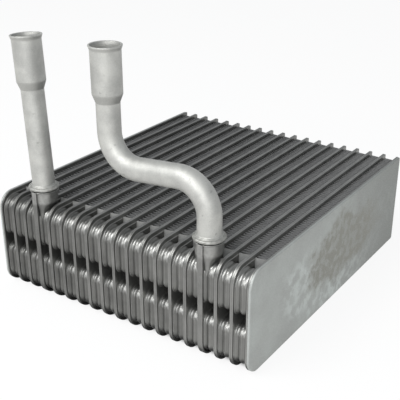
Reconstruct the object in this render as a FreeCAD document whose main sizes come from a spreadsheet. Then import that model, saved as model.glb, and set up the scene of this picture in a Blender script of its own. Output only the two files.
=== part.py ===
# Evaporator core: pressed tube plates brazed back to back, folded fins between the tubes,
# a flat plate on each end and two pipes brazed into necks over the tank end.
# X runs across the stack, Y from the tank end to the far end, Z along the air flow.
# The origin is the middle of the rectangle that the lower edges of the plates stand on.
import FreeCAD, Part
import Sketcher
import math
import os

# Driving sizes in millimetres and degrees. Distances from the front are measured from the
# tank end of the plates, heights from their lower edges.
SIZES = {
    # the stack
    "bay_count": 18,
    "plate_pitch": 11.8,
    "plate_length": 236.8,
    "plate_height": 74,
    # a pressed half of one tube
    "rim_thickness": 1.0,
    "rim_corner": 12,
    "corner_flats": 3,
    "channel_rise": 0.6,
    "channel_inset": 2.3,
    "channel_chamfer": 4.5,
    "cup_front_inset": 2.6,
    "cup_edge_inset": 3.7,
    "cup_length": 16.4,
    "cup_height": 29.3,
    "cup_chamfer": 3.5,
    # the two tubes that carry a pipe
    "inlet_station": 3,
    "outlet_station": 15,
    "neck_from_front": 11,
    "neck_radius": 9.2,
    "neck_top": 84,
    "funnel_bottom": 71.5,
    "funnel_height": 4,
    "tab_depth": 22,
    "band_thickness": 1.9,
    "band_width": 2.3,
    "seat_depth": 6,
    "seat_clearance": 0.05,
    # a folded fin
    "fold_count": 12,
    "fin_stock": 0.4,
    "fin_from_front": 24.5,
    "fin_from_rear": 3.8,
    "fin_edge_inset": 2,
    # a flat end plate
    "end_plate_thickness": 1.8,
    "end_plate_corner": 12,
    "end_plate_rear_chamfer": 2,
    # both pipes
    "pipe_diameter": 16,
    "pipe_wall": 1.1,
    "bead_diameter": 21.8,
    "bead_height": 3,
    "taper_length": 6.4,
    "socket_diameter": 20.2,
    "socket_length": 28.2,
    "flare_diameter": 22,
    "flare_length": 2.8,
    # the inlet pipe leans over a little from just above its bead
    "lean_start": 89.6,
    "lean_angle": 4,
    "lean_turn": -18.3,
    "inlet_taper_start": 155.3,
    # the outlet pipe goes up, across the stack and up again
    "crank_start": 122.4,
    "crank_end": 114.7,
    "crank_reach": 79.6,
    "crank_bend": 21.5,
    "bend_mitres": 4,
    "crank_turn": -1.7,
    "outlet_taper_start": 157.3,
}

# Sizes that follow from the driving ones, as expressions on the sheet.
CHANNEL_HALF = "(sizes.rim_thickness + sizes.channel_rise)"
CUP_TOP = "(sizes.plate_height - sizes.cup_edge_inset)"
CUP_BACK = "(sizes.cup_front_inset + sizes.cup_length)"
PIPE_RADIUS = "(sizes.pipe_diameter / 2)"
BORE_RADIUS = "(sizes.pipe_diameter / 2 - sizes.pipe_wall)"
SOCKET_RADIUS = "(sizes.socket_diameter / 2)"
FLARE_RADIUS = "(sizes.flare_diameter / 2)"
SEAT_BOTTOM = "(sizes.neck_top - sizes.seat_depth)"
FRONT = "-sizes.plate_length / 2"

os.makedirs("parts", exist_ok=True)
doc = FreeCAD.newDocument("evaporator_core")
sheet = doc.addObject("Spreadsheet::Sheet", "sizes")
for row, (alias, number) in enumerate(SIZES.items(), start=1):
    sheet.set(f"A{row}", alias.replace("_", " "))
    sheet.set(f"B{row}", str(number))
    sheet.setAlias(f"B{row}", alias)
doc.recompute()


def value_of(expression):
    """Number that an expression on the sheet has now."""
    return float(sheet.evalExpression(expression))


def station_x(station):
    """Place across the stack of a joint plane; station 0 is the left end of the stack."""
    return f"sizes.plate_pitch * ({station} - sizes.bay_count / 2)"


def new_body(name, x, y=FRONT, turn="0"):
    """Body named after its node, set at its place in the stack and turned about the vertical."""
    body = doc.addObject("PartDesign::Body", name)
    body.Label = name
    upright = FreeCAD.Vector(0, 0, 1)
    body.Placement = FreeCAD.Placement(FreeCAD.Vector(), FreeCAD.Rotation(upright, value_of(turn)))
    body.setExpression("Placement.Base.x", x)
    body.setExpression("Placement.Base.y", y)
    if turn != "0":
        body.setExpression("Placement.Rotation.Angle", turn)
    return body


def new_sketch(body, name, role, **offset):
    """Sketch on one of the body's own planes, with its origin moved or turned where asked."""
    sketch = body.newObject("Sketcher::SketchObject", f"{body.Name}_{name}")
    plane = [item for item in body.Origin.OriginFeatures if item.Role == role][0]
    sketch.AttachmentSupport = [(plane, "")]
    sketch.MapMode = "FlatFace"
    paths = {"across": "Base.x", "along": "Base.y", "lift": "Base.z", "turn": "Rotation.Angle"}
    if "turn" in offset:
        normal = FreeCAD.Vector(0, 0, 1)
        turned = FreeCAD.Rotation(normal, value_of(offset["turn"]))
        sketch.AttachmentOffset = FreeCAD.Placement(FreeCAD.Vector(), turned)
    for key, expression in offset.items():
        sketch.setExpression("AttachmentOffset." + paths[key], expression)
    return sketch


def bind(sketch, dimensions):
    """Add dimension constraints, each tied to its own expression."""
    first = sketch.ConstraintCount
    sketch.addConstraint([constraint for constraint, expression in dimensions])
    for index, (constraint, expression) in enumerate(dimensions, start=first):
        sketch.renameConstraint(index, f"size_{index}")
        sketch.setExpression(f"Constraints.size_{index}", expression)


def pin(geometry, across, up):
    """Dimensions that hold the first point of a geometry at its place from the origin."""
    return [
        (Sketcher.Constraint("DistanceX", -1, 1, *geometry, value_of(across)), across),
        (Sketcher.Constraint("DistanceY", -1, 1, *geometry, value_of(up)), up),
    ]


def round_corner(before, corner, after, radius):
    """Arc that rounds a corner, where it starts and ends, and whether it turns left."""
    back = (before - corner).normalize()
    ahead = (after - corner).normalize()
    half = back.getAngle(ahead) / 2
    reach = radius / math.tan(half)
    start = corner + back * reach
    end = corner + ahead * reach
    centre = corner + (back + ahead).normalize() * (radius / math.sin(half))
    left = ahead.cross(back).z > 0
    first, last = (start, end) if left else (end, start)
    angles = [math.atan2(point.y - centre.y, point.x - centre.x) for point in (first, last)]
    if angles[1] < angles[0]:
        angles[1] += 2 * math.pi
    circle = Part.Circle(centre, FreeCAD.Vector(0, 0, 1), radius)
    return Part.ArcOfCircle(circle, *angles), start, end, left


def draw(sketch, corners, closed=True):
    """Draw straight runs from corner to corner and constrain them fully.

    A corner is two expressions, across and up; a third is the radius of the arc that rounds
    it, and the corner point itself is then kept as a construction point.
    """
    points = [FreeCAD.Vector(value_of(c[0]), value_of(c[1]), 0) for c in corners]
    count = len(points)
    arrive = list(points)
    leave = list(points)
    arcs = {}
    for i, corner in enumerate(corners):
        if len(corner) == 3:
            after = points[(i + 1) % count]
            radius = value_of(corner[2])
            arc, arrive[i], leave[i], left = round_corner(points[i - 1], points[i], after, radius)
            arcs[i] = (arc, left)

    run_count = count if closed else count - 1
    runs = [Part.LineSegment(leave[i], arrive[(i + 1) % count]) for i in range(run_count)]
    first_run = sketch.GeometryCount
    sketch.addGeometry(runs, False)
    joints = []
    dimensions = []
    for i, corner in enumerate(corners):
        run_after = first_run + i
        run_before = first_run + (i - 1) % count
        at_end = not closed and i == count - 1
        at_start = not closed and i == 0
        if i in arcs:
            arc, left = arcs[i]
            arc_index = sketch.addGeometry(arc, False)
            mark = sketch.addGeometry(Part.Point(points[i]), True)
            arc_start, arc_end = (1, 2) if left else (2, 1)
            joints.append(Sketcher.Constraint("Tangent", run_before, 2, arc_index, arc_start))
            joints.append(Sketcher.Constraint("Tangent", arc_index, arc_end, run_after, 1))
            joints.append(Sketcher.Constraint("PointOnObject", mark, 1, run_before))
            joints.append(Sketcher.Constraint("PointOnObject", mark, 1, run_after))
            dimensions += pin((mark, 1), corner[0], corner[1])
            radius = Sketcher.Constraint("Radius", arc_index, value_of(corner[2]))
            dimensions.append((radius, corner[2]))
        elif at_end:
            dimensions += pin((run_before, 2), corner[0], corner[1])
        else:
            if not at_start:
                joints.append(Sketcher.Constraint("Coincident", run_before, 2, run_after, 1))
            dimensions += pin((run_after, 1), corner[0], corner[1])
    sketch.addConstraint(joints)
    bind(sketch, dimensions)


def draw_circle(sketch, radius):
    """Circle about the sketch's origin."""
    circle = Part.Circle(FreeCAD.Vector(), FreeCAD.Vector(0, 0, 1), value_of(radius))
    index = sketch.addGeometry(circle, False)
    sketch.addConstraint(Sketcher.Constraint("Coincident", index, 3, -1, 1))
    bind(sketch, [(Sketcher.Constraint("Radius", index, value_of(radius)), radius)])


def pad(body, sketch, length, backwards=False):
    feature = body.newObject("PartDesign::Pad", sketch.Name + "_pad")
    feature.Profile = sketch
    feature.setExpression("Length", length)
    feature.Reversed = backwards
    return feature


def revolve(body, sketch, kind="Revolution", angle=360, backwards=False):
    """Revolution or groove of a sketch about its own vertical axis."""
    feature = body.newObject("PartDesign::" + kind, f"{sketch.Name}_{kind.lower()}")
    feature.Profile = sketch
    feature.ReferenceAxis = (sketch, ["V_Axis"])
    feature.Angle = angle
    feature.Reversed = backwards
    return feature


def flat_arc(across, up, radius, first_angle, sweep="90", flats="sizes.corner_flats"):
    """Corners along an arc about a centre, which short flats join in place of the curve."""
    count = int(value_of(flats))
    angles = [f"({first_angle} + {sweep} * {i} / {flats})" for i in range(count + 1)]
    return [(f"{across} + {radius} * cos{a}", f"{up} + {radius} * sin{a}") for a in angles]


def cup_outline(bottom, top, under_neck=False):
    """Cup with chamfered front corners; one under a neck runs up square into the funnel."""
    front = "sizes.cup_front_inset"
    front_cut = "(sizes.cup_front_inset + sizes.cup_chamfer)"
    outline = [
        (front_cut, bottom),
        (CUP_BACK, bottom),
        (CUP_BACK, top),
    ]
    if under_neck:
        outline.append((front, top))
    else:
        outline += [(front_cut, top), (front, f"{top} - sizes.cup_chamfer")]
    outline.append((front, f"{bottom} + sizes.cup_chamfer"))
    return outline


def channel_outline():
    """Raised face of the tube, inside its rim, with chamfered front corners."""
    inset = "sizes.channel_inset"
    cut = f"({inset} + sizes.channel_chamfer)"
    rear = f"sizes.plate_length - {inset}"
    top = f"sizes.plate_height - {inset}"
    return [
        (cut, inset),
        (rear, inset),
        (rear, top),
        (cut, top),
        (inset, f"sizes.plate_height - {cut}"),
        (inset, cut),
    ]


def rim_outline(with_tab):
    """Edge of the sheet; a tube that carries a pipe has a tab standing up beside its neck."""
    radius = "sizes.rim_corner"
    outline = flat_arc(radius, radius, radius, 180)
    outline.append(("sizes.plate_length", "0"))
    outline.append(("sizes.plate_length", "sizes.plate_height"))
    if with_tab:
        outline.append(("sizes.tab_depth", "sizes.plate_height"))
        outline.append(("sizes.tab_depth", "sizes.neck_top"))
        outline.append(("0", "sizes.neck_top"))
    else:
        outline += flat_arc(radius, "(sizes.plate_height - sizes.rim_corner)", radius, 90)
    return outline


def add_neck(body, faces_left):
    """Thickened front band, and half of the neck that the pipe stands in."""
    radius = "sizes.rim_corner"
    inner_radius = "(sizes.rim_corner - sizes.band_width)"
    band = new_sketch(body, "band", "YZ_Plane")
    outline = [("0", "sizes.neck_top")]
    outline += flat_arc(radius, radius, radius, 180)
    outline += reversed(flat_arc(radius, radius, inner_radius, 180))
    outline.append(("sizes.band_width", "sizes.neck_top"))
    draw(band, outline)
    pad(body, band, "sizes.band_thickness", faces_left)

    neck = new_sketch(body, "neck", "YZ_Plane", across="sizes.neck_from_front")
    draw(neck, [
        ("0", "sizes.funnel_bottom"),
        ("sizes.plate_pitch / 2", "sizes.funnel_bottom"),
        ("sizes.neck_radius", "sizes.funnel_bottom + sizes.funnel_height"),
        ("sizes.neck_radius", "sizes.neck_top"),
        ("0", "sizes.neck_top"),
    ])
    revolve(body, neck, angle=180, backwards=not faces_left)

    seat = new_sketch(body, "seat", "YZ_Plane", across="sizes.neck_from_front")
    seat_radius = f"{PIPE_RADIUS} + sizes.seat_clearance"
    draw(seat, [
        ("0", SEAT_BOTTOM),
        (seat_radius, SEAT_BOTTOM),
        (seat_radius, "sizes.neck_top"),
        ("0", "sizes.neck_top"),
    ])
    revolve(body, seat, "Groove")


def half_plate(station, faces_left, with_neck):
    """One pressed half of a tube: flat rim, raised channel and two cups, from its joint plane."""
    side = "left" if faces_left else "right"
    body = new_body(f"plate_{station:02d}_{side}", station_x(station))

    rim = new_sketch(body, "rim", "YZ_Plane")
    draw(rim, rim_outline(with_neck))
    pad(body, rim, "sizes.rim_thickness", faces_left)

    channel = new_sketch(body, "channel", "YZ_Plane")
    draw(channel, channel_outline())
    pad(body, channel, CHANNEL_HALF, faces_left)

    cups = new_sketch(body, "cups", "YZ_Plane")
    upper_top = "sizes.plate_height" if with_neck else CUP_TOP
    draw(cups, cup_outline("sizes.cup_edge_inset", "(sizes.cup_edge_inset + sizes.cup_height)"))
    draw(cups, cup_outline(f"({CUP_TOP} - sizes.cup_height)", upper_top, with_neck))
    pad(body, cups, "sizes.plate_pitch / 2", faces_left)

    if with_neck:
        add_neck(body, faces_left)
    return body


def folded_fin(bay):
    """Strip folded to and fro between two tubes; its fold lines run along the air flow."""
    body = new_body(f"fin_{bay:02d}", station_x(bay - 0.5))
    length = "(sizes.plate_length - sizes.fin_from_front - sizes.fin_from_rear)"
    fold = f"({length} / sizes.fold_count)"
    tip = f"(sizes.plate_pitch / 2 - {CHANNEL_HALF})"
    # thickness of a sloping leg, measured across the bay
    leg = f"(sizes.fin_stock * sqrt(1 + (4 * {tip} / {fold})^2))"
    start = "sizes.fin_from_front"

    sketch = new_sketch(body, "fold", "XY_Plane", along=start, lift="sizes.fin_edge_inset")
    draw(sketch, [
        (f"-{tip}", "0"),
        (f"-{tip} + {leg}", "0"),
        (tip, f"{fold} / 2"),
        (f"-{tip} + {leg}", fold),
        (f"-{tip}", fold),
        (f"{tip} - {leg}", f"{fold} / 2"),
    ])
    one_fold = pad(body, sketch, "sizes.plate_height - 2 * sizes.fin_edge_inset")

    folds = body.newObject("PartDesign::LinearPattern", f"{body.Name}_folds")
    folds.Originals = [one_fold]
    axis = [item for item in body.Origin.OriginFeatures if item.Role == "Y_Axis"][0]
    folds.Direction = (axis, [""])
    folds.setExpression("Length", f"{length} - {fold}")
    folds.setExpression("Occurrences", "sizes.fold_count")
    body.Tip = folds
    return body


def end_plate(name, station, faces_left):
    """Flat plate on one end of the stack."""
    body = new_body(name, station_x(station))
    front_corner = "sizes.end_plate_corner"
    cut = "sizes.end_plate_rear_chamfer"
    sketch = new_sketch(body, "outline", "YZ_Plane")
    draw(sketch, [
        ("0", "0", front_corner),
        (f"sizes.plate_length - {cut}", "0"),
        ("sizes.plate_length", cut),
        ("sizes.plate_length", f"sizes.plate_height - {cut}"),
        (f"sizes.plate_length - {cut}", "sizes.plate_height"),
        ("0", "sizes.plate_height", front_corner),
    ])
    pad(body, sketch, "sizes.end_plate_thickness", faces_left)
    return body


def pipe(name, station, turn, route, lean="0"):
    """Tube along a route, with a bead that rests on the neck and a flared socket at its end."""
    y = f"sizes.neck_from_front - sizes.plate_length / 2"
    body = new_body(name, station_x(station), y, turn)

    section = new_sketch(body, "section", "XY_Plane", lift=SEAT_BOTTOM)
    draw_circle(section, PIPE_RADIUS)
    draw_circle(section, BORE_RADIUS)
    spine = new_sketch(body, "route", "XZ_Plane")
    draw(spine, route, closed=False)
    doc.recompute()
    tube = body.newObject("PartDesign::AdditivePipe", f"{name}_tube")
    tube.Profile = section
    tube.Spine = (spine, [f"Edge{i + 1}" for i in range(len(spine.Shape.Edges))])
    tube.Transition = "Right corner"

    bead_radius = "sizes.bead_diameter / 2"
    bead_top = "sizes.neck_top + sizes.bead_height"
    bead = new_sketch(body, "bead", "XZ_Plane")
    draw(bead, [
        (PIPE_RADIUS, "sizes.neck_top"),
        (bead_radius, "sizes.neck_top"),
        (bead_radius, bead_top),
        (PIPE_RADIUS, bead_top),
    ])
    revolve(body, bead)

    socket_end = "(sizes.taper_length + sizes.socket_length)"
    mouth = f"({socket_end} + sizes.flare_length)"
    end_x, end_z = route[-1]
    socket = new_sketch(body, "socket", "XZ_Plane", across=end_x, along=end_z, turn=lean)
    draw(socket, [
        (BORE_RADIUS, "0"),
        (PIPE_RADIUS, "0"),
        (SOCKET_RADIUS, "sizes.taper_length"),
        (SOCKET_RADIUS, socket_end),
        (FLARE_RADIUS, mouth),
        (f"{FLARE_RADIUS} - sizes.pipe_wall", mouth),
        (f"{SOCKET_RADIUS} - sizes.pipe_wall", socket_end),
        (f"{SOCKET_RADIUS} - sizes.pipe_wall", "sizes.taper_length"),
        (BORE_RADIUS, "sizes.taper_length"),
    ])
    revolve(body, socket)
    return body


def inlet_route():
    """Up from the seat, then leaning over."""
    rise = "(sizes.inlet_taper_start - sizes.lean_start)"
    return [
        ("0", SEAT_BOTTOM),
        ("0", "sizes.lean_start"),
        (f"-{rise} * tan(sizes.lean_angle)", "sizes.inlet_taper_start"),
    ]


def outlet_route():
    """Up from the seat, over towards the middle of the stack on a slight fall, and up again.

    Both bends turn by as much, in equal mitres that lie on the tangents of the bend.
    """
    fall = "atan((sizes.crank_start - sizes.crank_end) / sizes.crank_reach)"
    turn = f"(90 + {fall} / 1 deg)"
    half_mitre = f"({turn} / sizes.bend_mitres / 2)"
    reach = f"(sizes.crank_bend * tan({turn} / 2))"
    mitre_radius = f"(sizes.crank_bend / cos({half_mitre}))"
    sweep = f"({turn} - 2 * {half_mitre})"
    between = "(sizes.bend_mitres - 1)"
    first = flat_arc("-sizes.crank_bend", f"(sizes.crank_start - {reach})",
                     mitre_radius, half_mitre, sweep, between)
    second = flat_arc("(sizes.crank_bend - sizes.crank_reach)", f"(sizes.crank_end + {reach})",
                      mitre_radius, f"180 + {half_mitre}", sweep, between)
    top = ("-sizes.crank_reach", "sizes.outlet_taper_start")
    return [("0", SEAT_BOTTOM)] + first + second[::-1] + [top]


def build():
    """All pieces of the core, from left to right, then the pipes."""
    bays = int(value_of("sizes.bay_count"))
    neck_stations = (value_of("sizes.inlet_station"), value_of("sizes.outlet_station"))
    bodies = [end_plate("end_plate_left", "0", True)]
    for station in range(bays + 1):
        with_neck = station in neck_stations
        if station > 0:
            bodies.append(half_plate(station, True, with_neck))
        if station < bays:
            bodies.append(half_plate(station, False, with_neck))
            bodies.append(folded_fin(station + 1))
    bodies.append(end_plate("end_plate_right", "sizes.bay_count", False))

    bodies.append(pipe("inlet_pipe", "sizes.inlet_station", "sizes.lean_turn",
                       inlet_route(), "sizes.lean_angle"))
    bodies.append(pipe("outlet_pipe", "sizes.outlet_station", "sizes.crank_turn", outlet_route()))
    return bodies


pieces = build()
doc.recompute()
for item in doc.Objects:
    if "Invalid" in item.State or "Error" in item.State:
        raise RuntimeError(f"{item.Name} failed: {item.State}")
for piece in pieces:
    if piece.Shape.isNull() or not piece.Shape.isValid() or len(piece.Shape.Solids) != 1:
        raise RuntimeError(f"{piece.Label} is not one valid solid")
for piece in pieces:
    piece.Shape.exportStep(f"parts/{piece.Label}.step")
    print(piece.Label, round(piece.Shape.Volume, 1), "mm3")
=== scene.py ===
import math
import bmesh
import bpy
from mathutils import Matrix, Vector


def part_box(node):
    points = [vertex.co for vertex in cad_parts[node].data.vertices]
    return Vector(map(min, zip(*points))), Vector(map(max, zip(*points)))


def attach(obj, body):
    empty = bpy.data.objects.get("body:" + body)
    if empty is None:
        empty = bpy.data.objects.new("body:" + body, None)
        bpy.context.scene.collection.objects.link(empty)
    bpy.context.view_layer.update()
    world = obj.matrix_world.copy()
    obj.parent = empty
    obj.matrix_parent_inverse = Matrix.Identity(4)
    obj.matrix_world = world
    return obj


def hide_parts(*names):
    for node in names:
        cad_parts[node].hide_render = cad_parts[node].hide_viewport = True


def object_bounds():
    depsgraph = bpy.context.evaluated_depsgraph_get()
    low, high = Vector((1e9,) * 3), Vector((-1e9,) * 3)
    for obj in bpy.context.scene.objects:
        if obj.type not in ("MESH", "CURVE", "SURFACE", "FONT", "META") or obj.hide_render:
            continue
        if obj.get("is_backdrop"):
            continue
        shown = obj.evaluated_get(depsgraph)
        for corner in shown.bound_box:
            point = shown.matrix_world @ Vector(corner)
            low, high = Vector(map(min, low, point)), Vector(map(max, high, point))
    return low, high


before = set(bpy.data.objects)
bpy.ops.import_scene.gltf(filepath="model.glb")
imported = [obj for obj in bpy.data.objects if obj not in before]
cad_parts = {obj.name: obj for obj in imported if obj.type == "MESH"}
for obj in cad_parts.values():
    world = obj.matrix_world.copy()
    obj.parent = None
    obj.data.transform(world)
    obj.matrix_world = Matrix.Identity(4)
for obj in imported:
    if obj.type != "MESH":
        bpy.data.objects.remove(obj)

scene = bpy.context.scene
mm = 0.001
cadLow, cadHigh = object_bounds()
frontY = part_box("plate_09_right")[0].y
nodeNames = sorted(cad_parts)


def addNode(tree, kind, place=(0, 0), inputs=None, **settings):
    # every input is given a socket to link or a value
    made = tree.nodes.new(kind)
    made.location = place
    for name, value in settings.items():
        setattr(made, name, value)
    for label, value in (inputs or {}).items():
        if isinstance(value, bpy.types.NodeSocket):
            tree.links.new(value, made.inputs[label])
        else:
            made.inputs[label].default_value = value
    return made


def addInputs(tree, inputs):
    for label, kind, value in inputs:
        socket = tree.interface.new_socket(label, in_out="INPUT", socket_type=kind)
        if value is not None:
            socket.default_value = value


def newGroup(name, inputs, outputs):
    group = bpy.data.node_groups.new(name, "ShaderNodeTree")
    addInputs(group, inputs)
    for label, kind in outputs:
        group.interface.new_socket(label, in_out="OUTPUT", socket_type=kind)
    return group, addNode(group, "NodeGroupInput", (-900, 0)), addNode(group, "NodeGroupOutput", (900, 0))


def mixColour(tree, factor, first, second, place=(0, 0)):
    # first and second are colours or sockets, factor is a number or a socket
    first, second = (value if isinstance(value, bpy.types.NodeSocket) else (*value, 1) for value in (first, second))
    inputs = {0: factor, 6: first, 7: second}
    return addNode(tree, "ShaderNodeMix", place, inputs, data_type="RGBA", clamp_factor=True).outputs[2]


def calc(tree, operation, first, second=0.0, place=(0, 0), clamp=False):
    inputs = {0: first, 1: second}
    return addNode(tree, "ShaderNodeMath", place, inputs, operation=operation, use_clamp=clamp).outputs[0]


def remap(tree, value, low, high, toLow=0.0, toHigh=1.0, place=(0, 0)):
    inputs = {"Value": value, "From Min": low, "From Max": high, "To Min": toLow, "To Max": toHigh}
    made = addNode(tree, "ShaderNodeMapRange", place, inputs, clamp=True, interpolation_type="SMOOTHSTEP")
    return made.outputs["Result"]


def noise(tree, vector, scale, detail=3.0, rough=0.5, place=(0, 0)):
    inputs = {"Vector": vector, "Scale": scale, "Detail": detail, "Roughness": rough}
    return addNode(tree, "ShaderNodeTexNoise", place, inputs).outputs["Fac"]


def split(tree, vector, place):
    return addNode(tree, "ShaderNodeSeparateXYZ", place, {"Vector": vector}).outputs


def makeSheetGrain():
    # rolled and brazed aluminium: fine speckle, slow cloudiness and the relief of both
    group, inside, out = newGroup("sheetGrain", [
        ("Vector", "NodeSocketVector", None),
        ("Fine Scale", "NodeSocketFloat", 900.0),
        ("Cloud Scale", "NodeSocketFloat", 45.0),
        ("Relief", "NodeSocketFloat", 0.2),
    ], [("Speckle", "NodeSocketFloat"), ("Cloud", "NodeSocketFloat"), ("Normal", "NodeSocketVector")])
    given = inside.outputs
    fine = noise(group, given["Vector"], given["Fine Scale"], 3.0, 0.5, (-500, 200))
    cloud = noise(group, given["Vector"], given["Cloud Scale"], 4.0, 0.6, (-500, -100))
    height = calc(group, "ADD", fine, calc(group, "MULTIPLY", cloud, 0.6))
    relief = {"Height": height, "Strength": given["Relief"], "Distance": 0.0002}
    bump = addNode(group, "ShaderNodeBump", (300, -200), relief)
    group.links.new(remap(group, fine, 0.3, 0.7), out.inputs["Speckle"])
    group.links.new(remap(group, cloud, 0.3, 0.7), out.inputs["Cloud"])
    group.links.new(bump.outputs["Normal"], out.inputs["Normal"])
    return group


def makeCreviceShade():
    # painted shade where surfaces close in on each other, broken up by noise
    group, inside, out = newGroup("creviceShade", [
        ("Vector", "NodeSocketVector", None),
        ("Reach", "NodeSocketFloat", 0.006),
        ("Amount", "NodeSocketFloat", 1.0),
    ], [("ShadeInCrevices", "NodeSocketFloat")])
    given = inside.outputs
    shade = addNode(group, "ShaderNodeAmbientOcclusion", (-500, 0), {"Distance": given["Reach"]}, samples=8)
    closed = remap(group, shade.outputs["AO"], 0.15, 0.8, 1.0, 0.0)
    broken = calc(group, "ADD", noise(group, given["Vector"], 160, 2.0), 0.45, clamp=True)
    amount = calc(group, "MULTIPLY", calc(group, "MULTIPLY", closed, broken), given["Amount"], clamp=True)
    group.links.new(amount, out.inputs["ShadeInCrevices"])
    return group


def makeRubbedEdge():
    # edges where the surface turns sharply are rubbed bright, here and there
    group, inside, out = newGroup("rubbedEdge", [
        ("Vector", "NodeSocketVector", None),
        ("Sharpness", "NodeSocketFloat", 0.52),
    ], [("Edge", "NodeSocketFloat")])
    geometry = addNode(group, "ShaderNodeNewGeometry", (-600, 0))
    over = calc(group, "SUBTRACT", geometry.outputs["Pointiness"], inside.outputs["Sharpness"])
    edge = calc(group, "MULTIPLY", over, 14.0, clamp=True)
    worn = calc(group, "ADD", noise(group, inside.outputs["Vector"], 120, 3.0), 0.35, clamp=True)
    group.links.new(calc(group, "MULTIPLY", edge, worn, clamp=True), out.inputs["Edge"])
    return group


sheetGrain = makeSheetGrain()
creviceShade = makeCreviceShade()
rubbedEdge = makeRubbedEdge()
print("shared shader groups made")


def newMaterial(name):
    made = bpy.data.materials.new(name)
    made.use_nodes = True
    tree = made.node_tree
    coordinates = addNode(tree, "ShaderNodeTexCoord", (-1300, 0))
    return made, tree, coordinates.outputs["Object"]


def surfaceNormal(tree):
    return addNode(tree, "ShaderNodeNewGeometry", (-1300, 700)).outputs["Normal"]


def coatWith(tree, colour, grain, finish, bumped=True):
    shader = tree.nodes["Principled BSDF"]
    rough = remap(tree, grain.outputs["Speckle"], 0, 1, *finish["roughness"], place=(-400, -100))
    tree.links.new(colour, shader.inputs["Base Color"])
    tree.links.new(rough, shader.inputs["Roughness"])
    if bumped:
        tree.links.new(grain.outputs["Normal"], shader.inputs["Normal"])
    shader.inputs["Metallic"].default_value = finish["metallic"]


def useGroup(tree, group, vector, place, **values):
    inputs = {label.replace("_", " "): number for label, number in values.items()}
    return addNode(tree, "ShaderNodeGroup", place, {"Vector": vector, **inputs}, node_tree=group)


pressedFinish = {
    "metal": (0.255, 0.255, 0.243), "dark": (0.165, 0.165, 0.158), "light": (0.42, 0.42, 0.405),
    "neck": (0.37, 0.37, 0.355), "rubAndHighlight": (0.62, 0.62, 0.60), "shadeAndSheen": (0.10, 0.10, 0.094),
    "grimeAndShade": (0.05, 0.05, 0.047), "under": (0.012, 0.012, 0.011),
    "roughness": (0.33, 0.44), "metallic": 0.85,
    "valleyShadeShare": 0.5, "channelSheenShare": 0.7, "edgeShare": 0.15, "litTopShare": 0.14,
    # where along the stack the colour darkens towards the left and painted light brightens it towards the right
    "darkerLeftAcross": (-0.108, 0.04), "darkerLeftShare": 0.3, "litRightAcross": (0.02, 0.108), "litRightShare": 0.2,
    # which way a shoulder with a painted highlight faces, and how far from a joint it begins, in plate pitches
    "shoulderFacing": (-0.1, -0.80, 0.59), "shoulderMatch": (0.76, 0.96), "shoulderHighlightShare": 0.48,
    "pitch": 0.0118, "rimEnd": (0.115, 0.14), "shoulderAcross": (-0.108, -0.03), "shoulderLeft": 0.3,
    "underHeight": (0.008, 0.016), "sideHeight": (0.004, 0.0105),
    "pitDepth": (0.0195, 0.0210), "pitHeight": (0.0650, 0.0680), "neckHeight": (0.0735, 0.0765),
}


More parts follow.
